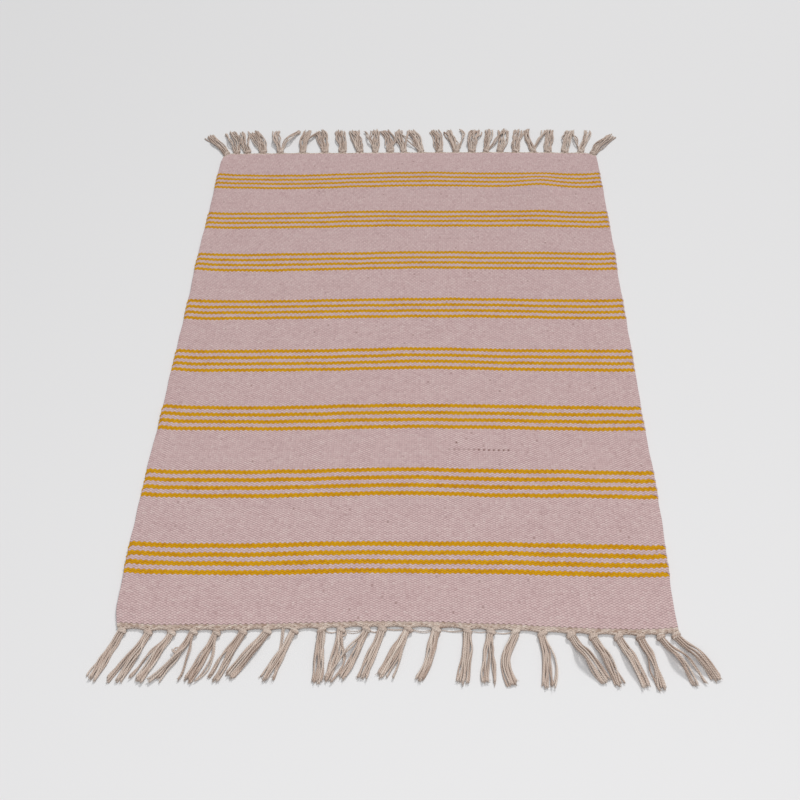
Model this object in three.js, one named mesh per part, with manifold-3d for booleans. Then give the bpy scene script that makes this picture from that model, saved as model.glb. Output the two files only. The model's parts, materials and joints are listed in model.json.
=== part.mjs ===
// A flat-woven cotton bath mat with striped bands and a row of knotted tassels at each end.
//
// Millimetres. X runs across the mat, +Y along it from the near end to the far end, +Z up.
// The origin is the middle of the underside, so the mat lies on the plane z = 0.
//
// The mat is woven flat. A sheet of undyed warp runs its whole length, and dyed weft goes over,
// under and around it, so the warp shows only at the two ends, where rows of undyed twining close
// the weave and the loose warp is knotted into tassels. The mat folds across its middle, so warp
// and weft are each made in two halves that meet at the fold.
import * as THREE from 'three';
import { mergeVertices } from 'three/addons/utils/BufferGeometryUtils.js';
import Module from 'manifold-3d';

// Driving dimensions of the woven panel
const WIDTH = 600;
const LENGTH = 900;
const THICKNESS = 4;
const NEAR_HEADING = 5; // rows of undyed twining that close the near end
const FAR_HEADING = 3; // the far end is closed with fewer rows
const HEADING_ROUND = 1.2; // radius of the twining's edges
const WEFT = 1.2; // thickness of the weft, above, below and beside the warp
const GAP = 0.3; // clearance between pieces that touch
const FLOAT = 2; // height of a yarn carried up the selvedge from line to line

// Stripes: bands of four lines, listed from the near end to the far end
const BAND_CENTRES = [-358, -247, -139, -34, 68, 172, 271, 372];
const LINES_PER_BAND = 4;
const LINE_PITCH = 11.9; // from line to line in the middle of the mat
const LINE_PITCH_SLOPE = -0.0019; // the weaver beats the far end a little closer
const NEAR_BANDS = 4; // bands on the near side of the fold

// Tassels: an overhand knot in the loose warp, and a bundle of yarns that spreads to its cut end
const TASSEL_LENGTH = 70;
const TASSEL_SIDES = 6;
const KNOT_LENGTH = 12;
const TASSEL_STATIONS = [
  { along: 0, halfWidth: 2.4, under: 0.9, top: 3.1 }, // neck
  { along: 3.5, halfWidth: 4.6, under: 0.2, top: 5.4 },
  { along: 7, halfWidth: 5.4, under: 0, top: 7.4 }, // knot
  { along: KNOT_LENGTH, halfWidth: 3.6, under: 0, top: 5.4 },
  { along: 34, halfWidth: 4.3, under: 0, top: 4.4 },
  { along: 54, halfWidth: 4.8, under: 0, top: 4 },
  { along: TASSEL_LENGTH, halfWidth: 5, under: 0, top: 3.2 }, // cut end
];

// How each tassel lies: [knot, tip, bow], the X of its knot, the X of its cut end, and how far
// the middle of the bundle bends sideways from the straight line between them.
const NEAR_TASSELS = [
  [-291, -316, 0], [-265, -290, 0], [-240, -270, 2], [-216, -245, 3],
  [-191, -215, 2], [-163, -188, -1], [-137, -173, 0], [-108, -135, 0],
  [-79, -81, 0], [-58, -70, 3], [-31, -57, 0], [-14, -34, 0],
  [14, -14, 0], [44, 25, 2], [77, 70, 2], [102, 95, -2],
  [128, 125, -10], [156, 160, 2], [187, 219, 0], [210, 232, 2],
  [236, 257, 2], [260, 274, 3], [281, 310, 4], [295, 331, 6],
];
const FAR_TASSELS = [
  [-295, -332, 0], [-279, -300, 0], [-262, -277, 0], [-236, -259, 3],
  [-208, -217, -3], [-172, -168, 0], [-136, -151, 2], [-108, -116, 0],
  [-79, -97, 0], [-56, -58, 0], [-30, -43, 2], [-8, -17, 0],
  [19, 2, 0], [49, 39, 2], [77, 62, 2], [101, 108, -2],
  [124, 131, 3], [146, 157, 2], [172, 178, 0], [201, 196, -3],
  [224, 229, 0], [250, 263, 0], [275, 289, 2], [295, 332, 0],
];

const COLOURS = {
  pink: 0xc3aaa9,
  yellow: 0xc18e1e,
  natural: 0xc8bda8,
};

// Sizes that follow from the driving dimensions
const HALF_WIDTH = WIDTH / 2;
const HALF_LENGTH = LENGTH / 2;
const LAYER = WEFT + GAP; // from one layer of yarn to the next
const WARP_HALF_WIDTH = HALF_WIDTH - 2 * LAYER;
const WARP_UNDER = LAYER;
const WARP_TOP = THICKNESS - LAYER;
const BEYOND = 1; // how far a cut runs past the face it starts from

const wasm = await Module();
wasm.setup();

// A closed three.js geometry as a solid that can be joined and cut.
function toSolid(geometry) {
  geometry.deleteAttribute('normal');
  geometry.deleteAttribute('uv');
  const merged = mergeVertices(geometry);
  return new wasm.Manifold(new wasm.Mesh({
    numProp: 3,
    vertProperties: merged.attributes.position.array,
    triVerts: Uint32Array.from(merged.index.array),
  }));
}

// A joined or cut solid as a three.js geometry.
function toGeometry(solid) {
  const mesh = solid.getMesh();
  const geometry = new THREE.BufferGeometry();
  geometry.setAttribute('position', new THREE.BufferAttribute(mesh.vertProperties, 3));
  geometry.setIndex(new THREE.BufferAttribute(mesh.triVerts, 1));
  geometry.computeVertexNormals();
  return geometry;
}

// A rectangular solid between two corners, each given as [x, y, z].
function block(low, high) {
  const [width, length, height] = high.map((value, axis) => value - low[axis]);
  const geometry = new THREE.BoxGeometry(width, length, height);
  geometry.translate(low[0] + width / 2, low[1] + length / 2, low[2] + height / 2);
  return toSolid(geometry);
}

// The lines of one band: the Y of each line's near and far edge.
function linesOf(centre) {
  const pitch = LINE_PITCH + LINE_PITCH_SLOPE * centre;
  return Array.from({ length: LINES_PER_BAND }, (_, line) => {
    const middle = centre + (line - (LINES_PER_BAND - 1) / 2) * pitch;
    return { from: middle - pitch / 4, to: middle + pitch / 4 };
  });
}

// The tunnel that the warp runs through inside the weft, between two Y.
function warpTunnel(from, to) {
  return block(
    [-WARP_HALF_WIDTH - GAP, from - BEYOND, WARP_UNDER - GAP],
    [WARP_HALF_WIDTH + GAP, to + BEYOND, WARP_TOP + GAP],
  );
}

// How far the heading reaches in from one end.
function headingOf(side) {
  return side < 0 ? NEAR_HEADING : FAR_HEADING;
}

// The Y of the weft's two ends in one half of the mat: the fold and the heading.
function weftSpan(side) {
  const end = HALF_LENGTH - headingOf(side) - GAP;
  return [side * (GAP / 2), side * end].sort((a, b) => a - b);
}

// Twining across one end: a flat bar with round edges, as wide as the mat.
function heading(side) {
  const inner = HALF_LENGTH - headingOf(side);
  const round = HEADING_ROUND;
  const outline = new THREE.Shape();
  outline.absarc(HALF_LENGTH - round, THICKNESS - round, round, 0, Math.PI / 2);
  outline.absarc(inner + round, THICKNESS - round, round, Math.PI / 2, Math.PI);
  outline.absarc(inner + round, round, round, Math.PI, 1.5 * Math.PI);
  outline.absarc(HALF_LENGTH - round, round, round, 1.5 * Math.PI, 2 * Math.PI);
  const geometry = new THREE.ExtrudeGeometry(outline, {
    depth: WIDTH,
    bevelEnabled: false,
    curveSegments: 3,
  });
  // The outline is drawn in Y and Z, and pushed along X.
  geometry.rotateX(Math.PI / 2);
  geometry.rotateZ(Math.PI / 2);
  geometry.translate(-HALF_WIDTH, 0, 0);
  if (side < 0) geometry.rotateZ(Math.PI);
  return toSolid(geometry);
}

// The undyed warp of one half, and the heading that closes its end.
function warp(side) {
  const end = HALF_LENGTH - headingOf(side) / 2;
  const [from, to] = [side * (GAP / 2), side * end].sort((a, b) => a - b);
  const sheet = block([-WARP_HALF_WIDTH, from, WARP_UNDER], [WARP_HALF_WIDTH, to, WARP_TOP]);
  return toGeometry(sheet.add(heading(side)));
}

// The pink weft of one half, with room for its stripes. Where it passes a yellow line it is
// carried up the right-hand selvedge, so it stays one length of yarn.
function weft(side, bandCentres) {
  const [from, to] = weftSpan(side);
  let cloth = block([-HALF_WIDTH, from, 0], [HALF_WIDTH, to, THICKNESS]);
  cloth = cloth.subtract(warpTunnel(from, to));
  for (const centre of bandCentres) {
    const lines = linesOf(centre);
    for (const line of lines) {
      cloth = cloth.subtract(block(
        [-HALF_WIDTH - BEYOND, line.from - GAP, -BEYOND],
        [HALF_WIDTH - WEFT, line.to + GAP, THICKNESS + BEYOND],
      ));
    }
    cloth = cloth.subtract(block(
      [-HALF_WIDTH - BEYOND, lines[0].from - GAP, -BEYOND],
      [-HALF_WIDTH + LAYER, lines[LINES_PER_BAND - 1].to + GAP, THICKNESS + BEYOND],
    ));
  }
  return toGeometry(cloth);
}

// The yellow weft of one band: four lines around the warp, and the yarn carried up the left-hand
// selvedge from each line to the next.
function stripeBand(centre) {
  const lines = linesOf(centre);
  const rings = lines.map(({ from, to }) => (
    block([-HALF_WIDTH, from, 0], [HALF_WIDTH - LAYER, to, THICKNESS])
      .subtract(warpTunnel(from, to))
  ));
  const floats = lines.slice(1).map((line, below) => block(
    [-HALF_WIDTH, lines[below].to - BEYOND, (THICKNESS - FLOAT) / 2],
    [-HALF_WIDTH + WEFT, line.from + BEYOND, (THICKNESS + FLOAT) / 2],
  ));
  return toGeometry([...rings, ...floats].reduce((joined, solid) => joined.add(solid)));
}

// A tassel, with its knot against the heading at the local origin. It is turned as a straight
// spindle along Y, then laid along its curve: a local [x, along, z] moves across, along and up.
function tassel(side, lean, bow) {
  const profile = TASSEL_STATIONS.map(({ along }) => new THREE.Vector2(1, along));
  profile.unshift(new THREE.Vector2(0, 0));
  profile.push(new THREE.Vector2(0, TASSEL_LENGTH));
  const flatSideDown = Math.PI / TASSEL_SIDES;
  const geometry = new THREE.LatheGeometry(profile, TASSEL_SIDES, flatSideDown);
  const topOfUnit = Math.cos(flatSideDown);

  const reach = Math.sqrt(TASSEL_LENGTH ** 2 - lean ** 2);
  const curve = new THREE.CubicBezierCurve(
    new THREE.Vector2(0, side * GAP),
    new THREE.Vector2(0, side * KNOT_LENGTH),
    new THREE.Vector2(lean / 2 + 2 * bow, side * reach * 0.6),
    new THREE.Vector2(lean, side * reach),
  );
  const position = geometry.attributes.position;
  for (let i = 0; i < position.count; i += 1) {
    const along = position.getY(i);
    const station = TASSEL_STATIONS.find((entry) => Math.abs(entry.along - along) < GAP);
    const middle = curve.getPointAt(along / TASSEL_LENGTH);
    const ahead = curve.getTangentAt(along / TASSEL_LENGTH);
    const across = position.getX(i) * station.halfWidth;
    const halfHeight = (station.top - station.under) / 2;
    position.setXYZ(
      i,
      middle.x + across * ahead.y,
      middle.y - across * ahead.x,
      station.under + halfHeight * (1 + position.getZ(i) / topOfUnit),
    );
  }
  geometry.deleteAttribute('normal');
  geometry.deleteAttribute('uv');
  const merged = mergeVertices(geometry);
  merged.computeVertexNormals();
  return merged;
}

const cotton = Object.fromEntries(Object.entries(COLOURS).map(([name, color]) => [
  name,
  new THREE.MeshStandardMaterial({ color, roughness: 0.95, metalness: 0 }),
]));

function piece(name, geometry, material) {
  const mesh = new THREE.Mesh(geometry, material);
  mesh.name = name;
  return mesh;
}

function tasselRow(end, side, tassels) {
  const row = new THREE.Group();
  row.position.y = side * HALF_LENGTH;
  tassels.forEach(([knot, tip, bow], index) => {
    const name = `${end}_tassel_${String(index + 1).padStart(2, '0')}`;
    const mesh = piece(name, tassel(side, tip - knot, bow), cotton.natural);
    mesh.position.x = knot;
    row.add(mesh);
  });
  return row;
}

const group = new THREE.Group();
group.name = 'bath_mat';
group.add(
  piece('near_warp', warp(-1), cotton.natural),
  piece('far_warp', warp(1), cotton.natural),
  piece('near_weft', weft(-1, BAND_CENTRES.slice(0, NEAR_BANDS)), cotton.pink),
  piece('far_weft', weft(1, BAND_CENTRES.slice(NEAR_BANDS)), cotton.pink),
  ...BAND_CENTRES.map((centre, index) => (
    piece(`stripe_band_${index + 1}`, stripeBand(centre), cotton.yellow)
  )),
  tasselRow('near', -1, NEAR_TASSELS),
  tasselRow('far', 1, FAR_TASSELS),
);

export default group;
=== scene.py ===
"""A flat-woven cotton bath mat: pink cloth with yellow lines, twined headings and knotted tassels.

Metres, in the frame of the CAD model: X across the mat, Y along the warp from the near end to the far end,
and Z up. The cloth is made as it is woven: its mesh has a bead wherever the weft passes over a warp, on the
top and on the underside.
"""

import json
import math
from typing import NamedTuple

import bpy
import numpy as np
from mathutils import Matrix, Vector


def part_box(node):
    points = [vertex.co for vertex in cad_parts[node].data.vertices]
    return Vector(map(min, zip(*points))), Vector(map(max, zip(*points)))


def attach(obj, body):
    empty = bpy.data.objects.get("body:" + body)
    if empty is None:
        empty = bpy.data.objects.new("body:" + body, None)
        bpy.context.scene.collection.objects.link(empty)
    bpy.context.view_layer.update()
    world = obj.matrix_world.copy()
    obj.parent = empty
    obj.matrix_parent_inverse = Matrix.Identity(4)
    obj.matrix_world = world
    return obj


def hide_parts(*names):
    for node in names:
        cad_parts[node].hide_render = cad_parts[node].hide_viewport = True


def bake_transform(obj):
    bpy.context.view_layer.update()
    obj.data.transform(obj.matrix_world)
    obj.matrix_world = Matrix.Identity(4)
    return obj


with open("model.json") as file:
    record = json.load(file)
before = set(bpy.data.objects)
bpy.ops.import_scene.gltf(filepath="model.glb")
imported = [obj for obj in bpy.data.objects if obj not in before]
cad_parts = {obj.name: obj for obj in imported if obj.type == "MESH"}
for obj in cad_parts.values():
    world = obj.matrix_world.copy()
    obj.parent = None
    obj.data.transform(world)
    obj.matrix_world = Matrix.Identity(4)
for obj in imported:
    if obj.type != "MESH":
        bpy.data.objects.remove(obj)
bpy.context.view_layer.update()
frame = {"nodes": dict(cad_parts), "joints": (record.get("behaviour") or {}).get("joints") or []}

# --- Sizes, in metres, from the frame -------------------------------------------------------------

MM = 0.001
HALF_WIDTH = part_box("near_weft")[1].x
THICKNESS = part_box("near_weft")[1].z
NEAR_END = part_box("near_warp")[0].y
FAR_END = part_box("far_warp")[1].y
NEAR_WEFT_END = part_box("near_weft")[0].y
FAR_WEFT_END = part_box("far_weft")[1].y
BANDS = sorted(name for name in frame["nodes"] if name.startswith("stripe_band"))  # from the near end
LINES_PER_BAND = 4
JOINTS = {joint["child"]: joint for joint in frame["joints"]}
FOLD = JOINTS["far_half"]["pos_m"]
BEND_MARGIN = 8 * MM  # more than the stripes' bends reach past their places in the flat mat

# --- The weave ------------------------------------------------------------------------------------

WARPS = 204
BEAD = 3.3 * MM  # height of a bead along the warp: two picks of weft
BEADS_PER_LINE = 2
BEAD_RELIEF = 0.55 * MM
ZIGZAG = 0.29  # how far the beads on a warp stand before or after the middle of their row, in bead heights
GROOVE_SWAY = 0.13  # how far a bead bulges into the next column, in warps
SELVEDGE_BULGE = 0.45 * MM
CARRIED_RADIUS = 0.95 * MM  # of the yarn carried up a selvedge

HEADING_BEAD = 2.0 * MM
HEADING_THICKNESS = 3.5 * MM
HEADING_RELIEF = 0.5 * MM
HEADING_LEVEL = 0.46  # where the middle of a heading lies, as a share of THICKNESS
TWINED_RADIUS = 0.75 * MM
SLACK_FROM, SLACK_TO = 8, 16  # the near knots with slack threads between them, counted from the left
LOOSE_YARNS_X = -121 * MM  # between two near tassels
THREAD_RADIUS = 0.36 * MM

YARN_RADIUS = 0.9 * MM
PLY_TWIST = 6.0 * MM  # length of one turn of a plied yarn
YARN_SIDES = 8

# --- Camera and studio ----------------------------------------------------------------------------

CAMERA_AT = Vector((0.0432, -1.1425, 1.0595))
CAMERA_DOWN = math.radians(45.58)
CAMERA_YAW = math.radians(-2.53)
CAMERA_ROLL = math.radians(-1.61)
CAMERA_LENS = 52.2
SENSOR = 36.0
FLOOR_REACH = 8.0


def make_camera():
    forward = Vector((
        math.sin(CAMERA_YAW) * math.cos(CAMERA_DOWN),
        math.cos(CAMERA_YAW) * math.cos(CAMERA_DOWN),
        -math.sin(CAMERA_DOWN),
    ))
    level = Vector((math.cos(CAMERA_YAW), -math.sin(CAMERA_YAW), 0.0))
    raised = level.cross(forward)
    right = level * math.cos(CAMERA_ROLL) + raised * math.sin(CAMERA_ROLL)
    up = raised * math.cos(CAMERA_ROLL) - level * math.sin(CAMERA_ROLL)
    data = bpy.data.cameras.new("camera")
    data.lens = CAMERA_LENS
    data.sensor_width = SENSOR
    camera = bpy.data.objects.new("camera", data)
    turn = Matrix((right, up, -forward)).transposed()
    camera.matrix_world = Matrix.Translation(CAMERA_AT) @ turn.to_4x4()
    bpy.context.scene.collection.objects.link(camera)
    bpy.context.scene.camera = camera


def make_light(name, at, aim, size, power, colour):
    data = bpy.data.lights.new(name, "AREA")
    data.size = size
    data.energy = power
    data.color = colour
    light = bpy.data.objects.new(name, data)
    light.location = at
    light.rotation_euler = (Vector(aim) - Vector(at)).to_track_quat("-Z", "Y").to_euler()
    bpy.context.scene.collection.objects.link(light)


def make_studio():
    """A pale floor, a soft light behind the mat, a weaker one in front of it, and a pale surround."""
    mesh = bpy.data.meshes.new("floor")
    corners = [(-FLOOR_REACH, -FLOOR_REACH, 0), (FLOOR_REACH, -FLOOR_REACH, 0),
               (FLOOR_REACH, FLOOR_REACH, 0), (-FLOOR_REACH, FLOOR_REACH, 0)]
    mesh.from_pydata(corners, [], [(0, 1, 2, 3)])
    floor = bpy.data.objects.new("floor", mesh)
    bpy.context.scene.collection.objects.link(floor)
    material, _, shader = new_material("floor_paper", roughness=0.9)
    shader.inputs["Base Color"].default_value = (0.80, 0.80, 0.81, 1)
    mesh.materials.append(material)
    make_light("key", (2.6, 7.4, 7.4), (0, 0, 0), 2.0, 640, (1.0, 0.985, 0.965))
    make_light("fill", (0.2, -1.7, 2.2), (0, 0, 0), 1.8, 28, (1.0, 0.99, 0.98))
    world = bpy.data.worlds.new("surround")
    world.use_nodes = True
    background = world.node_tree.nodes["Background"]
    background.inputs["Color"].default_value = (0.97, 0.985, 1.0, 1)
    background.inputs["Strength"].default_value = 0.34
    bpy.context.scene.world = world
    bpy.context.scene.view_settings.view_transform = "Standard"


# --- Smooth random fields -------------------------------------------------------------------------

def ripple(x, y, seed, length, waves=6):
    """A smooth random surface about 1 high, of waves that make features about length wide."""
    rng = np.random.default_rng(seed)
    total = 0.0
    for _ in range(waves):
        turn, phase = rng.uniform(0, 2 * math.pi, 2)
        rate = 2 * math.pi / (length * rng.uniform(1.2, 3.2))
        total = total + np.sin(rate * (x * math.cos(turn) + y * math.sin(turn)) + phase)
    return total * math.sqrt(2 / waves)


def bump(t):
    """1 at t = 0, falling smoothly to 0 by about t = 2 on each side."""
    return np.exp(-t * t)


def smoothstep(t):
    t = np.clip(t, 0, 1)
    return t * t * (3 - 2 * t)


# --- How the mat lies -----------------------------------------------------------------------------

# How far each selvedge stands out from a straight line, at places along the mat, all in millimetres.
LEFT_SELVEDGE = {
    -450: -2.5, -436: 3.4, -392: 4.6, -325: 6.4, -270: 6.2, -205: 6.2, -150: 4.6, -60: 4.4,
    20: 4.0, 110: 3.6, 163: 5.2, 230: 4.3, 290: 3.0, 390: 3.0, 430: 2.0, 450: 0.5,
}
RIGHT_SELVEDGE = {
    -450: 1.0, -405: 0.3, -350: 2.3, -250: 3.7, -215: 3.2, -160: 1.3, -130: 1.0, -60: 1.7,
    0: 1.6, 66: 1.1, 84: 2.0, 136: -0.2, 172: 1.3, 250: 0.6, 300: -0.3, 400: -1.4, 450: -2.2,
}
EDGE_ROUNDING = (-12, -6, 0, 6, 12)  # millimetres along the edge over which its corners are averaged
BOW_TOP = 0.03  # X where the stripes reach furthest up the mat
RIDGE = (0.203, 0.362)  # the top of a low ridge where the mat does not lie quite flat
CREASE_FROM = (0.048, 0.008)  # what is left of the fold that the mat was stored in
CREASE_TO = (0.300, -0.011)


def along_edge(places, y):
    """A selvedge's offset at each y, with its corners rounded off."""
    at = np.array(list(places)) * MM
    out = np.array(list(places.values())) * MM
    return sum(np.interp(y + shift * MM, at, out) for shift in EDGE_ROUNDING) / len(EDGE_ROUNDING)


def shift_across(x, y):
    """How far the cloth at x, y of the flat mat has moved across it: the wavy selvedges."""
    across = np.clip(x / HALF_WIDTH, -1, 1)
    left = -along_edge(LEFT_SELVEDGE, y) * ((1 - across) / 2) ** 1.5
    right = along_edge(RIGHT_SELVEDGE, y) * ((1 + across) / 2) ** 1.5
    return left + right + 0.22 * MM * ripple(x, y, 11, 0.022)


def shift_along(x, y):
    """How far it has moved along the mat, in millimetres: bowed stripes and drooping far corners."""
    bow = 2.2 - 5.5 * smoothstep((BOW_TOP - x) / 0.25) - 3.7 * smoothstep((x - BOW_TOP) / 0.26)
    near_end = smoothstep((-0.39 - y) / 0.06)
    bow = bow + near_end * (1.8 * bump((x + 0.02) / 0.12) - 2.2 * bump((x - 0.22) / 0.08))
    turn_up = 2.4 * bump((x + HALF_WIDTH) / 0.020) + 1.0 * bump((x - HALF_WIDTH) / 0.012)
    free = 0.2 + 0.8 * smoothstep((FAR_END - y) / 0.06)
    corner = smoothstep((-HALF_WIDTH + 0.010 - x) / 0.010) + smoothstep((x - HALF_WIDTH + 0.018) / 0.018)
    droop = -8.0 * corner * smoothstep((y - 0.405) / 0.045)
    beside_ridge = -2.0 * bump((x - 0.262) / 0.03) * bump((y - 0.38) / 0.06)
    moved = (bow + turn_up) * free + droop + beside_ridge
    return moved + 0.35 * ripple(x, y, 12, 0.07) + 0.2 * ripple(x, y, 13, 0.02)


def shift_up(x, y):
    """How far it has risen, in millimetres: slight swells, the ridge, its long foot and the crease."""
    ends = smoothstep((FAR_END - np.abs(y)) / 0.03)
    calm = 0.2 + 0.8 * smoothstep((np.abs(y) - 0.04) / 0.25)
    swell = 0.55 + 0.3 * ripple(x, y, 14, 0.10)
    reach = np.where(y > RIDGE[1], 0.020, 0.050)
    ridge = 3.4 * bump((x - RIDGE[0]) / 0.030) * bump((y - RIDGE[1]) / reach)
    foot = bump((x - 0.195) / 0.04) * smoothstep((y - 0.08) / 0.15) * smoothstep((0.40 - y) / 0.08)
    share = (x - CREASE_FROM[0]) / (CREASE_TO[0] - CREASE_FROM[0])
    crease_y = CREASE_FROM[1] + share * (CREASE_TO[1] - CREASE_FROM[1])
    crease = bump((y - crease_y) / 0.005)
    crease = crease * smoothstep((share + 0.1) / 0.4) * smoothstep((1.1 - share) / 0.4)
    return (np.clip(swell, 0, None) * calm + ridge + 1.5 * foot) * ends + 0.34 * crease


def shift_of(x, y):
    """How far the cloth at x, y of the flat mat has moved, in metres."""
    return np.stack([shift_across(x, y), shift_along(x, y) * MM, shift_up(x, y) * MM], axis=1)


def lie(points):
    """Points of the flat mat where the cloth lies."""
    return on_floor(points + shift_of(points[:, 0], np.clip(points[:, 1], NEAR_END, FAR_END)))


def on_floor(points):
    """The points, with any that would be below the floor pressed flat on it."""
    points[:, 2] = np.maximum(points[:, 2], 0)
    return points


# --- Meshes ---------------------------------------------------------------------------------------

class Parts:
    """Points, quads and values per point, gathered for one object.

    An edge is sharp where both its points lie in the same groove: the groove between two columns of beads,
    or the groove before a row of beads.
    """

    def __init__(self):
        self.points, self.quads, self.flat, self.grooves = [], [], [], []
        self.values = {}
        self.count = 0

    def add(self, points, quads, flat=None, groove_column=False, groove_row=False, **values):
        self.points.append(points)
        self.quads.append(quads + self.count)
        self.flat.append(np.zeros(len(quads), bool) if flat is None else flat)
        grooves = (np.broadcast_to(groove_column, len(points)), np.broadcast_to(groove_row, len(points)))
        self.grooves.append(np.stack(grooves, -1))
        for name, value in values.items():
            per_point = np.broadcast_to(value, len(points)).astype(np.float32)
            self.values.setdefault(name, []).append(per_point)
        self.count += len(points)

    def object(self, name, material, rest):
        """The gathered mesh. rest is where its points are on the flat mat, and steers the materials."""
        points = np.concatenate(self.points)
        quads = np.concatenate(self.quads)
        mesh = bpy.data.meshes.new(name)
        mesh.vertices.add(len(points))
        mesh.vertices.foreach_set("co", points.astype(np.float32).ravel())
        mesh.loops.add(quads.size)
        mesh.loops.foreach_set("vertex_index", quads.astype(np.int32).ravel())
        mesh.polygons.add(len(quads))
        mesh.polygons.foreach_set("loop_start", np.arange(0, quads.size, 4, dtype=np.int32))
        mesh.polygons.foreach_set("use_smooth", ~np.concatenate(self.flat))
        for key, value in self.values.items():
            mesh.attributes.new(key, "FLOAT", "POINT").data.foreach_set("value", np.concatenate(value))
        places = mesh.attributes.new("rest", "FLOAT_VECTOR", "POINT")
        places.data.foreach_set("vector", rest.astype(np.float32).ravel())
        mesh.update(calc_edges=True)
        edges = np.empty(2 * len(mesh.edges), np.int32)
        mesh.edges.foreach_get("vertices", edges)
        grooves = np.concatenate(self.grooves)[edges.reshape(-1, 2)]
        sharp = grooves.all(axis=1).any(axis=1)
        mesh.attributes.new("sharp_edge", "BOOLEAN", "EDGE").data.foreach_set("value", sharp)
        mesh.materials.append(material)
        piece = bpy.data.objects.new(name, mesh)
        bpy.context.scene.collection.objects.link(piece)
        return piece


def quads_between(row, left, right, columns):
    """Quads from each row of points to the next one, between a left and a right column of points."""
    near, far = row * columns, (row + 1) * columns
    corners = np.broadcast_arrays(near + left, near + right, far + right, far + left)
    return np.stack(corners, axis=-1).reshape(-1, 4)


# A strip's mesh columns stand on the warps and between them, on both faces, with two more for the loops of
# each selvedge. Its mesh rows are four to a bead: the groove before it, its near shoulder, its crest and its
# far shoulder. The tables give the depth of those rows below the crest, as a share of the relief.
FACE_COLUMNS = 2 * WARPS + 1
RING_COLUMNS = 2 * FACE_COLUMNS + 4
BEAD_ROWS = 4
DEPTH_ON_WARP = np.array([1.0, 0.16, 0.0, 0.16])
DEPTH_BETWEEN = np.array([0.78, 0.54, 0.78, 0.54])  # the groove between two columns of beads
DEPTH_AT_EDGE = np.array([0.9, 0.55, 0.42, 0.55])
SIDE_BULGE = np.array([0.15, 0.75, 1.0, 0.75])  # of a selvedge loop, as a share of SELVEDGE_BULGE
UNEVEN_DEPTH = 0.11  # how much the beads differ in height
SLUB_WARPS = 10  # how many warps a paler or darker length of yarn passes


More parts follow.
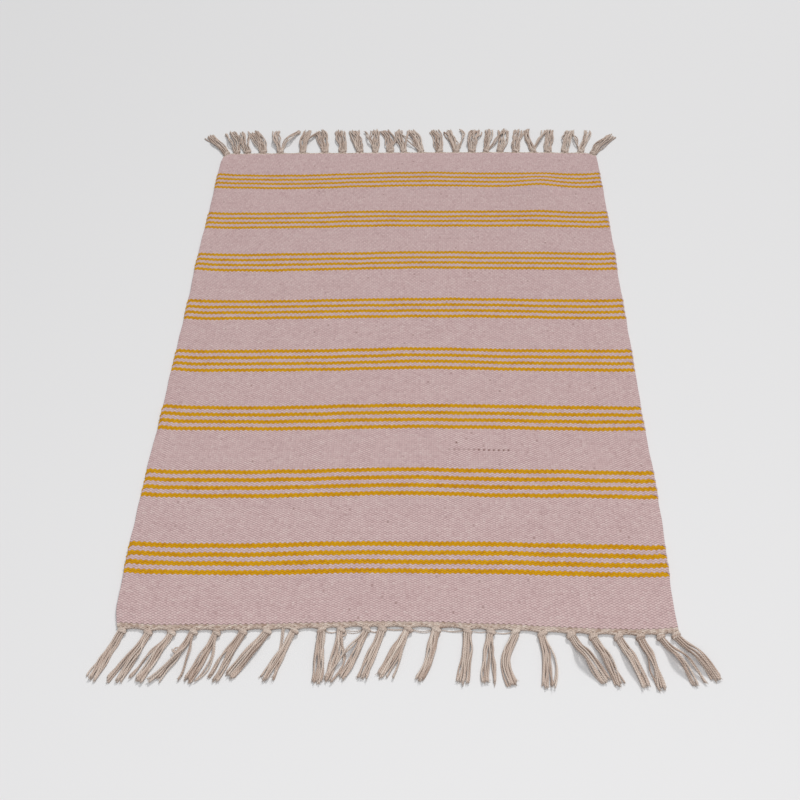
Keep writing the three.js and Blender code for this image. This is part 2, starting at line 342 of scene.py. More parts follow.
def cloth_strip(parts, y_from, y_to, beads, seed,
                thickness=THICKNESS, relief=BEAD_RELIEF, level=0.5, uneven=0.42, shade=0.0):
    """A strip of cloth with rows of beads, closed round both selvedges and at both ends.

    Each row zigzags: a bead on every even warp, then one on every odd warp, half a bead further on. On the
    underside the odd warps come first. level is where the strip's middle lies, as a share of THICKNESS, and
    the tones of its beads are spread by uneven round shade.
    """
    rng = np.random.default_rng(seed)
    column = np.arange(FACE_COLUMNS)
    row = np.arange(BEAD_ROWS * beads + 1)
    quarter = (row % BEAD_ROWS)[:, None]
    bead_height = (y_to - y_from) / beads
    bead_row = np.clip(row // BEAD_ROWS, 0, beads - 1)[:, None]
    on_warp = column % 2 == 1
    at_edge = (column == 0) | (column == 2 * WARPS)
    warp = np.clip((column - 1) // 2, 0, WARPS - 1)
    odd = warp % 2 == 1

    def for_each_bead():
        """A random number for each bead of a face, given to all its points."""
        return rng.normal(0, 1, (beads, WARPS))[bead_row, warp[None, :]]

    def face(odd_first, size):
        """The x, y and depth of one face of the strip."""
        lead = np.where(odd == odd_first, -ZIGZAG, ZIGZAG)
        y = y_from + bead_height * (row[:, None] / BEAD_ROWS + np.where(on_warp, lead, 0.0)[None, :])
        sway = np.where(quarter == 1, 1.0, np.where(quarter == 3, -1.0, 0.0))
        bulge_right = np.where(odd == odd_first, GROOVE_SWAY, -GROOVE_SWAY)
        bulge_right = np.where(on_warp | at_edge, 0.0, bulge_right)
        x = -HALF_WIDTH + (column / 2 + sway * bulge_right[None, :]) * 2 * HALF_WIDTH / WARPS
        depth = np.where(on_warp[None, :], DEPTH_ON_WARP[quarter], DEPTH_BETWEEN[quarter])
        depth = np.where(at_edge[None, :], DEPTH_AT_EDGE[quarter], depth)
        depth = depth - UNEVEN_DEPTH * size * (on_warp[None, :] & (quarter > 0))
        return x, y, depth

    size_top = for_each_bead()
    size_under = for_each_bead()
    x_top, y_top, depth_top = face(False, size_top)
    x_under, y_under, depth_under = face(True, size_under)

    # The cloth is thinner at its last warp and thicker at the third.
    from_edge = np.minimum(column, 2 * WARPS - column) / 2
    rim = 0.35 * MM * np.exp(-(from_edge / 0.7) ** 2) - 0.18 * MM * np.exp(-((from_edge - 2.5) / 1.2) ** 2)
    middle = THICKNESS * level
    top = np.stack([x_top, y_top, middle + thickness / 2 - relief * depth_top - rim], -1)
    under = np.stack([x_under, y_under, middle - thickness / 2 + relief * depth_under + rim], -1)

    # At each selvedge the weft turns back, one loop to a bead.
    loops = []
    for side in (1, -1):
        x = side * (HALF_WIDTH + SELVEDGE_BULGE * SIDE_BULGE[quarter])
        y = y_from + bead_height * row[:, None] / BEAD_ROWS
        z = middle + thickness * np.array([[0.17, -0.17]])
        loops.append(np.stack(np.broadcast_arrays(x, y, z), -1))
    ring = np.concatenate([top, loops[0], under[:, ::-1], loops[1][:, ::-1]], axis=1)

    # Tones of the beads and of lengths of yarn, and dark flecks. The underside has those of the top, moved.
    place = warp / SLUB_WARPS + rng.uniform(0, 1)
    slub = rng.normal(0, 1, (beads, WARPS // SLUB_WARPS + 3))
    low = np.floor(place).astype(int)
    share = place - low
    along = slub[bead_row, low[None, :]] * (1 - share) + slub[bead_row, low[None, :] + 1] * share
    tone_top = shade + uneven * for_each_bead() + 0.12 * along
    tone_under = np.roll(tone_top, 7, axis=1)
    bead_x = -HALF_WIDTH + (warp + 0.5) * 2 * HALF_WIDTH / WARPS
    bead_y = y_from + bead_height * (np.arange(beads)[:, None] + 0.5)
    flecks_top = flecks(bead_x[None, :], bead_y, odd[None, :], bead_height, rng)[bead_row[:, 0]]
    flecks_top = flecks_top * np.where(on_warp, 1.0, 0.35)[None, :] * (quarter > 0)
    flecks_under = np.roll(flecks_top, 38, axis=1)

    def round_ring(on_top, on_under, on_loops):
        """A value for every point of the ring, from those of its two faces and its selvedges."""
        loop = np.full((len(row), 2), on_loops)
        return np.concatenate([on_top, loop, on_under[:, ::-1], loop], axis=1)

    # How high each point stands in its bead; the material paints shade where this is low, in the valleys.
    height = round_ring(1 - depth_top, 1 - depth_under, 0.55)
    between_warps = np.broadcast_to(column % 2 == 0, depth_top.shape)
    quads, flat = strip_quads(beads)
    parts.add(ring.reshape(-1, 3), quads, flat,
              groove_column=round_ring(between_warps, between_warps, False).ravel(),
              groove_row=np.broadcast_to(quarter == 0, height.shape).ravel(),
              height=height.ravel(), tone=round_ring(tone_top, tone_under, 0.0).ravel(),
              fleck=round_ring(flecks_top, flecks_under, 0.0).ravel(),
              ply=0.0, along=0.0, round_x=1.0, round_y=0.0)


def strip_quads(beads):
    """The quads round a strip and the caps that close its two ends, and which of them are flat."""
    row = np.arange(BEAD_ROWS * beads)[:, None]
    step = np.arange(2 * WARPS)
    faces = []
    for first, is_under in ((0, False), (FACE_COLUMNS + 2, True)):
        quads = quads_between(row, first + step[None, :], first + step[None, :] + 1, RING_COLUMNS)
        # Each quad is split along the line that runs straight out from a crest.
        across = 2 * WARPS - 1 - step if is_under else step
        turned = ((across + across // 2 + is_under) % 2 == 1) ^ is_under
        turned = np.tile(turned, len(row))[:, None]
        faces.append(np.where(turned, np.roll(quads, -1, axis=1), quads))
    for first in (2 * WARPS, 2 * WARPS + 1, 2 * WARPS + 2, 4 * WARPS + 3, 4 * WARPS + 4, 4 * WARPS + 5):
        faces.append(quads_between(row, first, (first + 1) % RING_COLUMNS, RING_COLUMNS))
    faces = np.concatenate(faces)

    below = RING_COLUMNS - 3 - step  # the point on the underside that lies below a point of the top
    last = 2 * WARPS
    at_selvedges = [[last, last + 3, last + 2, last + 1],
                    [0, RING_COLUMNS - 1, RING_COLUMNS - 2, RING_COLUMNS - 3]]
    near_cap = np.concatenate([np.stack([step, below, below - 1, step + 1], -1), at_selvedges])
    far_cap = near_cap[:, ::-1] + BEAD_ROWS * beads * RING_COLUMNS
    flat = np.arange(len(faces) + 2 * len(near_cap)) >= len(faces)
    return np.concatenate([faces, near_cap, far_cap]), flat


# One pick with dark fibre in it, and a few specks: place across and along the mat, and strength.
DARK_PICK = {"y": -0.1945, "from": 0.058, "to": 0.135, "dark_from": 0.090}
SPECKS = ((0.070, -0.1835, 1.0), (0.086, -0.167, 0.5), (0.080, -0.177, 0.45), (-0.062, 0.020, 0.6))
FLECK_SHARE = 0.006


def flecks(x, y, odd, bead_height, rng):
    """How much dark fibre shows in each bead."""
    shape = np.broadcast_shapes(x.shape, y.shape)
    chance = rng.random(shape)
    value = np.where(chance < FLECK_SHARE, rng.uniform(0.15, 0.65, shape), 0.0)
    in_pick = (np.abs(y - DARK_PICK["y"]) < bead_height / 2) & ~odd
    in_pick = in_pick & (x > DARK_PICK["from"]) & (x < DARK_PICK["to"])
    value = np.where(in_pick, np.where(x > DARK_PICK["dark_from"], 0.95, 0.5), value)
    for speck_x, speck_y, strength in SPECKS:
        near = (np.abs(x - speck_x) < 1.6 * MM) & (np.abs(y - speck_y) < 0.5 * bead_height)
        value = np.where(near, strength, value)
    return value


def tube(parts, path, radius, turn=0.0, sides=YARN_SIDES, lobes=0.12, tone=0.0):
    """A plied yarn along a path: its section is slightly oval and turns once in each PLY_TWIST."""
    path = np.asarray(path, float)
    radius = np.broadcast_to(radius, len(path))
    ahead = np.gradient(path, axis=0)
    ahead /= np.linalg.norm(ahead, axis=1, keepdims=True)
    side = np.cross(ahead[0], (0.0, 0.0, 1.0))
    if np.linalg.norm(side) < 0.1:
        side = np.cross(ahead[0], (0.0, 1.0, 0.0))
    frames = []
    for direction in ahead:
        side = side - direction * (side @ direction)
        side = side / np.linalg.norm(side)
        frames.append((side, np.cross(side, direction)))
    frames = np.array(frames)
    gone = np.concatenate([[0], np.cumsum(np.linalg.norm(np.diff(path, axis=0), axis=1))])
    angle = np.arange(sides) * 2 * math.pi / sides
    spin = turn + 2 * math.pi * gone / PLY_TWIST
    shape = 1 + lobes * np.cos(2 * (angle[None, :] - spin[:, None]))
    offset = (np.cos(angle)[None, :, None] * frames[:, 0][:, None, :]
              + np.sin(angle)[None, :, None] * frames[:, 1][:, None, :])
    points = path[:, None, :] + offset * (radius[:, None] * shape)[:, :, None]
    rows = len(path)
    left = np.arange(sides)[None, :]
    body = quads_between(np.arange(rows - 1)[:, None], left, (left + 1) % sides, sides)[:, ::-1]
    cap = np.array([[0, i, i + 1, i + 2] for i in range(1, sides - 2, 2)])
    quads = np.concatenate([body, cap, cap[:, ::-1] + (rows - 1) * sides])
    # Painted shade: the yarn counts as low at its sides, where it meets the next, and high on its top and
    # underside.
    height = np.clip(0.12 + 0.88 * np.abs(offset[:, :, 2]), 0, 1)
    parts.add(points.reshape(-1, 3), quads, height=height.ravel(), tone=tone, fleck=0.0, ply=1.0,
              along=np.repeat(spin, sides),
              round_x=np.tile(np.cos(angle), rows), round_y=np.tile(np.sin(angle), rows))


# --- Materials ------------------------------------------------------------------------------------

def new_material(name, roughness, sheen=0.0):
    material = bpy.data.materials.new(name)
    material.use_nodes = True
    tree = material.node_tree
    shader = tree.nodes["Principled BSDF"]
    shader.inputs["Roughness"].default_value = roughness
    shader.inputs["Specular IOR Level"].default_value = 0.12
    shader.inputs["Sheen Weight"].default_value = sheen
    shader.inputs["Sheen Roughness"].default_value = 0.6
    return material, tree, shader


def add_node(tree, kind, **settings):
    node = tree.nodes.new(kind)
    for key, value in settings.items():
        if key in node.inputs:
            node.inputs[key].default_value = value
        else:
            setattr(node, key, value)
    return node


def attribute(tree, name, output="Fac"):
    node = tree.nodes.new("ShaderNodeAttribute")
    node.attribute_name = name
    return node.outputs[output]


def mixed(tree, share, first, second):
    """A colour mix of two colours or sockets."""
    node = tree.nodes.new("ShaderNodeMix")
    node.data_type = "RGBA"
    for name, value in (("Factor_Float", share), ("A_Color", first), ("B_Color", second)):
        socket = next(socket for socket in node.inputs if socket.identifier == name)
        if isinstance(value, bpy.types.NodeSocket):
            tree.links.new(value, socket)
        else:
            socket.default_value = value
    return next(socket for socket in node.outputs if socket.identifier == "Result_Color")


def ranged(tree, value, low, high, to_low=0.0, to_high=1.0):
    node = tree.nodes.new("ShaderNodeMapRange")
    tree.links.new(value, node.inputs["Value"])
    for key, number in (("From Min", low), ("From Max", high), ("To Min", to_low), ("To Max", to_high)):
        node.inputs[key].default_value = number
    return node.outputs["Result"]


def noise(tree, vector, scale, detail=2.0, stretch=(1, 1, 1)):
    mapping = add_node(tree, "ShaderNodeMapping")
    mapping.inputs["Scale"].default_value = stretch
    tree.links.new(vector, mapping.inputs["Vector"])
    node = tree.nodes.new("ShaderNodeTexNoise")
    node.inputs["Scale"].default_value = scale
    node.inputs["Detail"].default_value = detail
    tree.links.new(mapping.outputs["Vector"], node.inputs["Vector"])
    return node.outputs["Fac"]


def maths(tree, operation, first, second):
    node = tree.nodes.new("ShaderNodeMath")
    node.operation = operation
    for socket, value in zip(node.inputs, (first, second)):
        if isinstance(value, bpy.types.NodeSocket):
            tree.links.new(value, socket)
        else:
            socket.default_value = value
    return node.outputs[0]


def ply_groove(tree):
    """1 in the groove between the two plies of a yarn, 0 on their crests, and 0 all over woven cloth. It
    steers the yarn's bump and the shade painted into the groove.
    """
    around = maths(tree, "ARCTAN2", attribute(tree, "round_y"), attribute(tree, "round_x"))
    turned = maths(tree, "SUBTRACT", around, attribute(tree, "along"))
    wave = maths(tree, "COSINE", maths(tree, "MULTIPLY", turned, 2.0), 0.0)
    return maths(tree, "MULTIPLY", ranged(tree, wave, -0.2, -1.0), attribute(tree, "ply"))


def cotton(name, body, pale, dark, valley_shade, fleck, mottle):
    """Cotton yarn: paler and darker lengths, painted shade in valleys and yarn grooves, flecks and fine
    fibres.
    """
    material, tree, shader = new_material(name, roughness=0.92, sheen=0.06)
    rest = attribute(tree, "rest", "Vector")
    tone = attribute(tree, "tone")
    height = attribute(tree, "height")
    patch = noise(tree, rest, 30, detail=3)
    fibre = noise(tree, rest, 2300, detail=2, stretch=(0.4, 1, 1))
    groove = ply_groove(tree)

    colour = mixed(tree, ranged(tree, tone, 0.0, 2.2), body, pale)
    colour = mixed(tree, ranged(tree, tone, 0.0, -2.2), colour, dark)
    colour = mixed(tree, ranged(tree, patch, 0.42, 0.68, 0, mottle), colour, pale)
    colour = mixed(tree, ranged(tree, fibre, 0.30, 0.70, 0.25, 0), colour, valley_shade)
    # Painted shade: darker where the height is low, in the valleys between beads and at the sides of yarns.
    colour = mixed(tree, ranged(tree, height, 0.55, 0.0, 0, 0.85), colour, valley_shade)
    # Painted shade in the groove between the two plies of a yarn.
    colour = mixed(tree, maths(tree, "MULTIPLY", groove, 0.32), colour, valley_shade)
    colour = mixed(tree, attribute(tree, "fleck"), colour, fleck)
    tree.links.new(colour, shader.inputs["Base Color"])
    tree.links.new(ranged(tree, fibre, 0.2, 0.8, 0.84, 0.98), shader.inputs["Roughness"])

    relief = add_node(tree, "ShaderNodeBump", Strength=0.6, Distance=0.00025)
    surface = maths(tree, "SUBTRACT", fibre, maths(tree, "MULTIPLY", groove, 1.2))
    tree.links.new(surface, relief.inputs["Height"])
    tree.links.new(relief.outputs["Normal"], shader.inputs["Normal"])
    return material


def colour_of(red, green, blue):
    """A colour from its sRGB numbers, 0 to 255."""
    linear = [(value / 255 / 12.92) if value <= 10 else ((value / 255 + 0.055) / 1.055) ** 2.4
              for value in (red, green, blue)]
    return (*linear, 1.0)


PINK = cotton(
    "pink_cotton",
    body=colour_of(218, 190, 189), pale=colour_of(234, 214, 210), dark=colour_of(192, 160, 160),
    valley_shade=colour_of(104, 80, 84), fleck=colour_of(112, 76, 64), mottle=0.09,
)
YELLOW = cotton(
    "yellow_cotton",
    body=colour_of(217, 160, 0), pale=colour_of(234, 184, 16), dark=colour_of(172, 106, 0),
    valley_shade=colour_of(126, 74, 0), fleck=colour_of(140, 86, 4), mottle=0.2,
)
NATURAL = cotton(
    "natural_cotton",
    body=colour_of(217, 197, 184), pale=colour_of(242, 228, 216), dark=colour_of(180, 154, 138),
    valley_shade=colour_of(84, 64, 52), fleck=colour_of(140, 100, 64), mottle=0.2,
)

# --- The woven panel ------------------------------------------------------------------------------


def lines_of(band):
    """The near and far edge of each yellow line of a band, in Y."""
    low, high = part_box(band)[0].y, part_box(band)[1].y
    pitch = (high - low) / (LINES_PER_BAND - 0.5)
    return [(low + line * pitch, low + (line + 0.5) * pitch) for line in range(LINES_PER_BAND)]


def woven_order():
    """Every strip of dyed cloth in the order that it is woven: kind, place in its kind, near Y, far Y."""
    strips = []
    edge = NEAR_WEFT_END
    for number, band in enumerate(BANDS):
        lines = lines_of(band)
        strips.append(("field", number, edge, lines[0][0]))
        for line, (near, far) in enumerate(lines):
            strips.append(("line", number, near, far))
            if line + 1 < LINES_PER_BAND:
                strips.append(("gap", number, far, lines[line + 1][0]))
        edge = lines[-1][1]
    strips.append(("field", len(BANDS), edge, FAR_WEFT_END))
    return strips


def carried_yarn(parts, side, y_from, y_to, seed):
    """Yarn carried up a selvedge past a line of the other colour. Its ends slant in over the cloth."""
    rng = np.random.default_rng(seed)
    t = np.linspace(0, 1, 20)
    inward = rng.uniform(1.5, 6.5) * MM
    reach_in = inward * smoothstep((t - 0.62) / 0.38) + 2.5 * MM * smoothstep((0.35 - t) / 0.35)
    x = side * (HALF_WIDTH + SELVEDGE_BULGE - 0.5 * MM - reach_in)
    y = y_from + (y_to - y_from) * t + 1.2 * MM * smoothstep((t - 0.6) / 0.4)
    z = THICKNESS * (0.25 + 0.69 * smoothstep((t - 0.1) / 0.7))
    swell = 0.6 + 0.4 * np.sin(math.pi * np.clip(t, 0.02, 0.98)) ** 0.5
    tube(parts, np.stack([x, y, z], -1), CARRIED_RADIUS * swell, turn=rng.uniform(0, 6))


def heading(end):
    """The undyed rows that close an end: a strip of thinner cloth and a twined cord along its edge."""
    side = -1 if end == "near" else 1
    edge = side * FAR_END
    weft_end = NEAR_WEFT_END if end == "near" else FAR_WEFT_END
    low, high = sorted((edge - side * 1.1 * MM, weft_end))
    parts = Parts()
    beads = max(1, round((high - low) / HEADING_BEAD))
    cloth_strip(parts, low, high, beads, 90 + side,
                HEADING_THICKNESS, HEADING_RELIEF, level=HEADING_LEVEL, uneven=1.1, shade=-0.5)
    twining(parts, edge, side)
    if end == "near":
        slack_threads(parts, edge)
        loose_yarns(parts, edge)
    return parts


def slack_threads(parts, edge):
    """Thin warp threads that hang slack between some of the knots of the near end."""
    rng = np.random.default_rng(70)
    knots = sorted(joint["pos_m"][0] for name, joint in JOINTS.items() if name.startswith("near_tassel"))
    t = np.linspace(0, 1, 24)
    for left, right in list(zip(knots, knots[1:]))[SLACK_FROM:SLACK_TO]:
        for sag in rng.uniform(2.5, 6.5, 2) * MM:
            hang = np.sin(math.pi * t) ** 0.8
            x = left + (right - left) * t
            y = edge - 1.2 * MM - sag * hang + 0.4 * MM * ripple(x, 0 * x, int(sag * 1e6), 0.02) * hang
            z = THICKNESS * 0.4 * (1 - hang) + 0.5 * MM
            tube(parts, np.stack([x, y, z], -1), THREAD_RADIUS, sides=6, lobes=0.0, tone=1.2)


def loose_yarns(parts, edge):
    """Two yarns that were missed when a knot was tied."""
    t = np.linspace(0, 1, 24)
    for number in range(2):
        x = LOOSE_YARNS_X + 1.8 * MM * number - (4 + 2 * number) * MM * t ** 2
        y = edge + 1 * MM - 62 * MM * t
        z = np.maximum(THICKNESS * 0.5 * (1 - smoothstep(t * 2)), YARN_RADIUS)
        tube(parts, np.stack([x, y, z], -1), 0.85 * YARN_RADIUS, turn=number, tone=0.4)


def half_of(y):
    return "near" if y < FOLD[1] else "far"


def laid(parts, name, material):
    """The gathered strip as an object, with its points moved to where the mat lies."""
    rest = np.concatenate(parts.points)
    parts.points = [lie(rest)]
    return parts.object(name, material, rest)


def make_panel():
    """The strips as objects: fields, the pink between yellow lines, the yellow lines and the headings."""
    gathered = {"near_heading": heading("near"), "far_heading": heading("far")}
    overlap = 0.3 * BEAD
    for seed, (kind, number, near, far) in enumerate(woven_order()):
        beads = max(2, round((far - near) / BEAD)) if kind == "field" else BEADS_PER_LINE
        name = {
            "field": f"pink_field_{number + 1}",
            "gap": f"{half_of(near)}_pink_lines",
            "line": f"yellow_band_{number + 1}",
        }[kind]
        cloth_strip(gathered.setdefault(name, Parts()), near, far, beads, seed)
        if kind == "gap":
            carried_yarn(gathered[f"yellow_band_{number + 1}"], -1, near - overlap, far + overlap, seed)
        if kind == "line":
            pink = gathered.setdefault(f"{half_of(near)}_pink_lines", Parts())
            carried_yarn(pink, 1, near - overlap, far + overlap, seed)

    pieces = {}
    for name, parts in gathered.items():
        if name.startswith("yellow"):
            piece = laid(parts, name, YELLOW)
            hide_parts(BANDS[int(name.split("_")[-1]) - 1])
        elif name.endswith("heading"):
            piece = laid(parts, name, NATURAL)
            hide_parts(name.replace("heading", "warp"))
        else:
            piece = laid(parts, name, PINK)
        pieces[name] = piece

    middle = f"pink_field_{sum(1 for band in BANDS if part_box(band)[1].y < FOLD[1]) + 1}"
    for name, piece in pieces.items():
        low = min(corner[1] for corner in piece.bound_box)
        half = half_of(low + BEND_MARGIN)
        if name == middle:
            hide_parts("near_weft", "far_weft")
            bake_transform(piece)
            continue
        if "pink" in name:
            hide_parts(f"{half}_weft")
        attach(piece, f"{half}_half")
    return pieces


def twining(parts, y_edge, side):
    """Two undyed yarns twined round each other along an end of the mat."""
    steps = WARPS * 6
    t = np.arange(steps + 1) / steps
    x = -HALF_WIDTH + t * 2 * HALF_WIDTH
    for half_turn in (0, math.pi):
        angle = math.pi * WARPS * t / 1.5 + half_turn  # one and a half warps to a half turn
        y = y_edge - side * 1.0 * MM + 0.6 * MM * np.sin(angle)
        z = THICKNESS * HEADING_LEVEL + 0.85 * MM * np.cos(angle)
        tube(parts, np.stack([x, y, z], -1), TWINED_RADIUS, turn=half_turn)


# --- Tassels --------------------------------------------------------------------------------------


class End(NamedTuple):
    """What differs between the ends: the far tassels are fuller and wilder, with smaller knots."""
    side: int  # which way they point along Y
    first_seed: int
    more_yarns: int
    wildness: float
    spread: float  # how much wider the cut ends fan out
    neck: float  # half the width of the bundle where it leaves the knot
    knot_size: float
    knot_out: float  # from the end of the mat to the middle of the knot
    knot_z: float


ENDS = {
    "near": End(side=-1, first_seed=1000, more_yarns=0, wildness=1.0, spread=1.0, neck=4.3 * MM,
                knot_size=1.0, knot_out=4.3 * MM, knot_z=3.0 * MM),
    "far": End(side=1, first_seed=1500, more_yarns=2, wildness=1.7, spread=1.5, neck=6.2 * MM,
               knot_size=0.74, knot_out=3.8 * MM, knot_z=2.4 * MM),
}
KNOT_HALF_WIDTH = 4.3 * MM
KNOT_HALF_HEIGHT = 2.2 * MM
KNOT_LANES = 4
KNOT_LANE_WIDTH = 1.5 * MM
KNOT_LENGTH = 5.6 * MM
KNOT_YARN_RADIUS = 1.12 * MM
KNOT_ASIDE = {"near_tassel_01": -2.6 * MM, "near_tassel_24": 1.5 * MM}  # those nearer to their corner
FEWEST_YARNS, MOST_YARNS = 9, 12  # in a near tassel
LAYER_STEP = 1.7 * MM  # between the two layers of yarns in a knot
LONG_STRAY = 11 * MM  # yarns that stray further than this pass over their neighbours
STRAY_LIFT = 3.4 * MM
FIBRES = 4  # that show at the cut end of each yarn

# Tassels with yarns that stray from the bundle: how many, how far their tips lie to the side, and how far
# they bow on the way, in millimetres.
STRAYS = {
    "near_tassel_02": [(4, -9, 0)],
    "near_tassel_03": [(2, -7, -3)],
    "near_tassel_04": [(2, 18, 2), (3, -12, 5)],
    "near_tassel_05": [(2, 6, 7)],
    "near_tassel_08": [(3, 7, -2)],
    "near_tassel_10": [(2, 3, 8)],
    "near_tassel_11": [(2, -12, -2)],
    "near_tassel_13": [(2, 9, 0)],
    "near_tassel_16": [(4, 7, 1)],
    "near_tassel_18": [(2, 5, 5)],
    "near_tassel_23": [(3, 8, 1)],
    "far_tassel_05": [(6, 34, 0)],
    "far_tassel_06": [(3, 14, -7)],
    "far_tassel_10": [(2, -14, 6)],
    "far_tassel_12": [(3, 12, 0)],
    "far_tassel_13": [(2, -12, -8)],
    "far_tassel_15": [(3, 14, 8)],
    "far_tassel_17": [(3, 20, 3)],
    "far_tassel_20": [(4, 22, 4)],
    "far_tassel_23": [(3, -18, -4)],
}
# Tassels with a yarn that coils over the bundle: how far out, how far to the side, and the coil's radius, in
# millimetres.
COILS = {
    "near_tassel_04": (26, -15, 3.4),
    "near_tassel_10": (9, 3, 2.6),
    "far_tassel_07": (12, -4, 3.0),
}
# Tassels that arch clear of the floor, and how high, in millimetres.
ARCHES = {
    "near_tassel_07": 3, "near_tassel_19": 7, "near_tassel_20": 4, "near_tassel_21": 4,
    "near_tassel_22": 4, "near_tassel_23": 6, "near_tassel_24": 7,
    "far_tassel_02": 4, "far_tassel_05": 4, "far_tassel_16": 5, "far_tassel_22": 4,
}


def line_of(node, knot_x):
    """Where a tassel's cut end is, and how far its middle bends sideways from a straight line to there."""
    points = np.array([tuple(vertex.co) for vertex in frame["nodes"][node].data.vertices])
    reach = np.abs(points[:, 1])
    tip = points[reach > reach.max() - 3 * MM].mean(axis=0)
    share = (reach - FAR_END) / (reach.max() - FAR_END)
    near_middle = np.abs(share - 0.5) < 0.12
    aside = (points[:, 0] - knot_x - share * (tip[0] - knot_x))[near_middle]
    return tip, aside.mean() if near_middle.any() else 0.0


def rows_of_tassels():
    """For each end, the tassels' names from left to right and the X of each knot."""
    rows = {}
    for end in ("near", "far"):
        names = sorted(name for name in frame["nodes"] if name.startswith(f"{end}_tassel"))
        rows[end] = [(name, JOINTS[name]["pos_m"][0]) for name in names]
    return rows


def warps_of(row):
    """The X of the warps that each knot gathers: those that are nearer to it than to the next knot."""
    warp_x = -HALF_WIDTH + (np.arange(WARPS) + 0.5) * 2 * HALF_WIDTH / WARPS
    knots = np.array([x for _, x in row])
    nearest = np.abs(warp_x[:, None] - knots[None, :]).argmin(axis=1)
    return [warp_x[nearest == k] for k in range(len(row))]


def bezier(points, t):
    """A cubic curve through the plane, and the unit normal that points to its right."""
    a, b, c, d = (np.array(point)[None, :] for point in points)
    t = t[:, None]
    middle = a * (1 - t) ** 3 + 3 * b * t * (1 - t) ** 2 + 3 * c * t ** 2 * (1 - t) + d * t ** 3
    ahead = (b - a) * (1 - t) ** 2 + 2 * (c - b) * t * (1 - t) + (d - c) * t ** 2
    ahead = ahead / np.linalg.norm(ahead, axis=1, keepdims=True)
    return middle, np.stack([ahead[:, 1], -ahead[:, 0]], -1)


class Bundle(NamedTuple):
    """How the yarns of one tassel lie together."""
    end: End
    number: int
    aside: float  # how far the knot sits from its place
    lean: float  # how far to the side the cut end is
    bow: float  # how far its middle bends to the side
    reach: float
    neck: float  # half the width of the bundle at the knot, and at the cut end
    spread: float
    sway: float
    arch: float


def make_tassel(name, knot_x, warp_x, end, number):
    """Yarns from their places in the heading, gathered into a knot, and spread out to the cut end.

    It is made round the place where the knot's joint is, and then moved to where the heading lies.
    """
    rng = np.random.default_rng(end.first_seed + number)
    tip, bend = line_of(name, knot_x)
    count = int(np.clip(len(warp_x) + 2, FEWEST_YARNS, MOST_YARNS)) + end.more_yarns
    roots = np.interp(np.linspace(0, 1, count), np.linspace(0, 1, len(warp_x)), warp_x) - knot_x
    size = rng.uniform(0.93, 1.08)
    bundle = Bundle(
        end=end,
        number=number,
        aside=KNOT_ASIDE.get(name, 0.0),
        lean=tip[0] - knot_x,
        bow=1.1 * bend,
        reach=abs(tip[1]) - FAR_END,
        neck=end.neck * size,
        spread=rng.uniform(4.2, 5.6) * MM * min(1.1, 0.6 + count / 22) * end.spread,
        sway=0.8 * end.wildness * rng.uniform(0.5, 1.2),
        arch=ARCHES.get(name, rng.uniform(0.2, 1.6)) * MM,
    )
    parts = Parts()
    strays = strays_of(name, count)
    for i, lane in enumerate(lanes_of(count)):
        path = yarn_path(bundle, i, lane, strays.get(i), roots[i], rng)
        last = len(path) - 1
        fray = np.interp(np.arange(len(path)), [0, last - 7, last], [1, 1, rng.uniform(1.1, 1.45)])
        radius = YARN_RADIUS * fray * rng.uniform(0.9, 1.1)
        radius[-1] *= 0.6
        tone = rng.normal(0.1, 0.8)
        tube(parts, path, radius, turn=rng.uniform(0, 6), tone=tone)
        frayed_end(parts, path[-3], path[-1] - path[-4], tone, rng)
    if name in COILS:
        out, across, radius = COILS[name]
        coil(parts, end.side, out * MM, across * MM, radius * MM)
    knot(parts, bundle, size * end.knot_size, rng)

    # The tassel keeps its shape where it lies, and only its roots follow the edge of the heading.
    local = np.concatenate(parts.points)
    rest = local + np.array([knot_x, end.side * FAR_END, 0])
    rooted = np.clip(1 - local[:, 1] * end.side / (4 * MM), 0, 1)
    moved = shift_of(knot_x + local[:, 0] * rooted, np.full(len(local), end.side * FAR_END))
    parts.points = [on_floor(rest + moved)]
    piece = parts.object(name.replace("tassel", "tassel_yarns"), NATURAL, rest)
    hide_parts(name)
    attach(piece, name)
    return piece


def lanes_of(count):
    """The yarns' places in a bundle from left to right: how far across, -1 to 1, and in which layer."""
    lower = (count + 1) // 2 + 1
    upper = count - lower
    lanes = [((i + 0.5) / lower * 2 - 1, 0) for i in range(lower)]
    lanes += [((i + 0.5) / upper * 1.8 - 0.9, 1) for i in range(upper)]
    return sorted(lanes)


def strays_of(name, count):
    """For each stray yarn of a tassel, how far its tip and its middle are off to the side."""
    strays = []
    for how_many, tip_off, bow_off in STRAYS.get(name, []):
        strays += [(tip_off * MM, bow_off * MM)] * how_many
    from_left = bool(strays) and strays[0][0] < 0
    places = range(count) if from_left else range(count - 1, -1, -1)
    return dict(zip(places, strays))


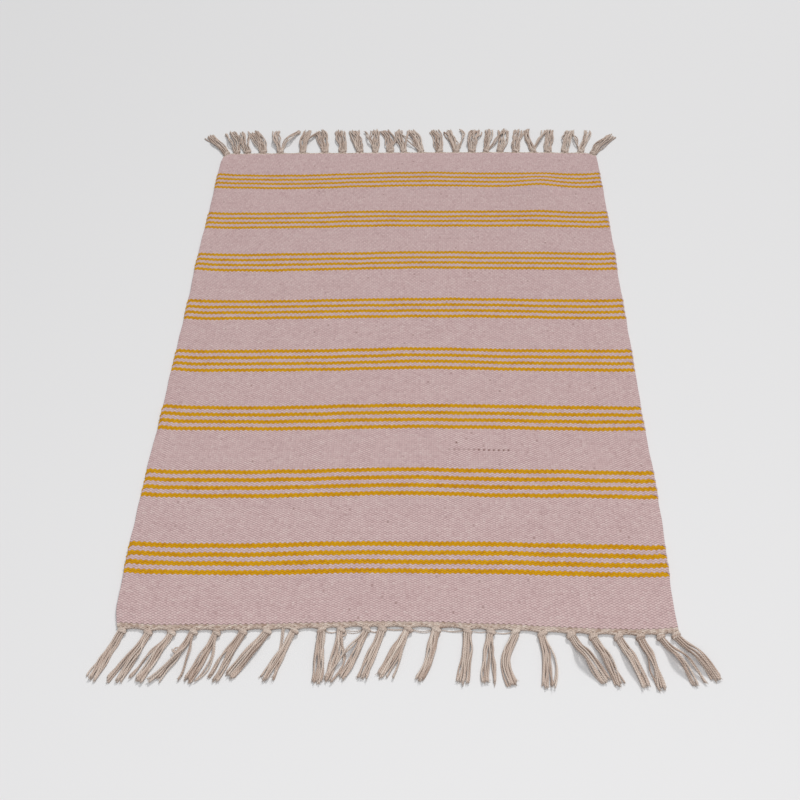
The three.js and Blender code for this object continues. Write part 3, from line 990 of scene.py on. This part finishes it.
def yarn_path(bundle, i, lane, stray, root, rng):
    """One yarn's path: from its warps in the heading, into its lane of the knot and on to its cut end."""
    end, number, aside, lean, bow, reach, neck, spread, sway, arch = bundle
    across, layer = lane
    extra_lean, extra_bow = stray or (0.0, 0.0)
    exit_x = aside + float(np.clip(0.06 * lean, -2 * MM, 2 * MM))
    waist = end.knot_out + KNOT_LENGTH / 2
    length = (reach - 3.5 * MM + rng.normal(0, 1.3) * MM) * (1 - 0.04 * abs(across))
    t = np.linspace(0, 1, 46)
    middle, right = bezier([
        (exit_x, waist),
        (exit_x + 0.30 * lean + 0.8 * bow, waist + 0.26 * length),
        ((lean + extra_lean) * 0.68 + 1.6 * (bow + extra_bow), 0.64 * length),
        (lean + extra_lean, length),
    ], t)
    half_width = neck + (spread - neck) * smoothstep(t * 1.4)
    drift = rng.normal(0, 0.14) * smoothstep(t)
    out = t * reach
    wander = end.wildness * 0.65 * MM * ripple(out, 0 * out + i * 0.37, 7 * number + i, 0.022)
    offset = (across + drift) * half_width * (0.6 if stray else 1.0) + wander * smoothstep(t * 2.5)
    swayed = sway * MM * ripple(out, 0 * out, 31 * number + 3, 0.045) * smoothstep(t * 2)
    flat = middle + right * offset[:, None] + np.array([[1.0, 0.0]]) * swayed[:, None]

    start_z = end.knot_z + (layer - 0.5) * LAYER_STEP
    stacked = layer * 1.55 * YARN_RADIUS * (1 - rng.uniform(0.1, 0.8) * smoothstep((t - 0.5) * 2))
    wave = 0.45 * MM * (1 + ripple(out, 0 * out + i, 77 + i, 0.03)) * smoothstep(t * 3)
    arched = arch * np.sin(math.pi * np.clip(t * 1.05, 0, 1)) ** 1.2
    z = YARN_RADIUS * 1.06 + stacked + wave + arched
    z = z + STRAY_LIFT * bump((t - 0.62) / 0.3) * (abs(extra_lean) > LONG_STRAY)
    settled = smoothstep(t * 2.0)
    z = np.maximum(start_z * (1 - settled) + z * settled, YARN_RADIUS)

    s = np.linspace(0, 1, 10)
    gather_x = root * (1 - smoothstep(s * 1.02)) + (across * 2.4 * MM + aside) * s
    gather_y = -1.4 * MM + (end.knot_out - 0.4 * MM) * s ** 1.35
    gather_z = THICKNESS * HEADING_LEVEL * (1 - s) + start_z * s
    k = np.linspace(0.15, 0.85, 5)
    through_x = gather_x[-1] + (flat[0, 0] - gather_x[-1]) * k
    through_y = gather_y[-1] + (flat[0, 1] - gather_y[-1]) * k
    path = np.stack([
        np.concatenate([gather_x, through_x, flat[:, 0]]),
        np.concatenate([gather_y, through_y, flat[:, 1]]),
        np.concatenate([gather_z, start_z + 0 * k, z]),
    ], -1)
    path[:, 1] *= end.side
    return path


def coil(parts, side, out, across, radius):
    """A yarn that leaves the bundle, turns once and a half round and goes back under it."""
    turn = np.linspace(0, 3 * math.pi, 40)
    swell = radius * (1 + 0.25 * np.cos(turn / 2))
    height = 3.2 * YARN_RADIUS + 0.8 * YARN_RADIUS * np.cos(turn / 1.5)
    path = np.stack([across - swell * np.cos(turn), side * (out + swell * np.sin(turn)), height], -1)
    tube(parts, path, 0.8 * YARN_RADIUS, tone=0.5)


def frayed_end(parts, start, ahead, tone, rng):
    """A few loose fibres at the cut end of a yarn."""
    ahead = ahead / np.linalg.norm(ahead)
    for _ in range(FIBRES):
        length = rng.uniform(2.6, 4.6) * MM
        away = rng.normal(0, 0.22, 3) * (1, 1, 0.6)
        t = np.linspace(0, 1, 6)[:, None]
        path = start + rng.normal(0, 0.35, 3) * MM + length * (ahead * t + away * t ** 2)
        path[:, 2] = np.maximum(path[:, 2], 0.35 * MM)
        tube(parts, path, THREAD_RADIUS * (1 - 0.4 * t[:, 0]), sides=4, lobes=0.0, tone=tone + 1.6)


def knot(parts, bundle, size, rng):
    """The turns of an overhand knot: yarns side by side that pass once round the bundle, askew."""
    end = bundle.end
    leans = abs(bundle.lean) > 6 * MM
    skew = math.copysign(1, -bundle.lean if leans else rng.normal()) * rng.uniform(2.2, 3.8) * MM
    turn = np.linspace(-1.08 * math.pi, 1.08 * math.pi, 30)
    for lane in range(KNOT_LANES):
        place = (lane + 0.5) / KNOT_LANES * 2 - 1
        fat = 1 - 0.42 * place ** 2
        tuck = 1 - 0.4 * smoothstep((np.abs(turn) / math.pi - 0.8) / 0.28)
        across = bundle.aside + KNOT_HALF_WIDTH * size * fat * tuck * np.sin(turn)
        half_height = KNOT_HALF_HEIGHT + 0.2 * MM * rng.normal()
        up = end.knot_z + half_height * fat * tuck * np.cos(turn)
        out = end.knot_out + place * KNOT_LANE_WIDTH * KNOT_LANES / 2 * 0.92 + skew * np.sin(turn) / 2
        out = out + 0.5 * MM * np.sin(turn * 0.5 + lane)
        path = np.stack([across, out * end.side, np.maximum(up, 1.0 * MM)], -1)
        tube(parts, path, KNOT_YARN_RADIUS, turn=rng.uniform(0, 6), tone=rng.normal(0.4, 0.7))


def make_tassels():
    """The tassels of each end, from left to right."""
    pieces = {"near": [], "far": []}
    for end, row in rows_of_tassels().items():
        for number, ((name, knot_x), warp_x) in enumerate(zip(row, warps_of(row))):
            pieces[end].append(make_tassel(name, knot_x, warp_x, ENDS[end], number))
    return pieces


# --- The mat --------------------------------------------------------------------------------------

def declare_cloth(panel, tassels):
    """Gathers, for each field, the stripes, headings and tassels that lie on it, and does nothing more with
    them.
    """
    fields = [panel[f"pink_field_{i + 1}"] for i in range(len(BANDS) + 1)]
    on_field = {i: [] for i in range(len(fields))}
    for i in range(len(BANDS)):
        on_field[i].append(panel[f"yellow_band_{i + 1}"])
    on_field[0] += [panel["near_heading"], panel["near_pink_lines"], *tassels["near"]]
    on_field[len(BANDS)] += [panel["far_heading"], panel["far_pink_lines"], *tassels["far"]]


make_camera()
make_studio()
declare_cloth(make_panel(), make_tassels())
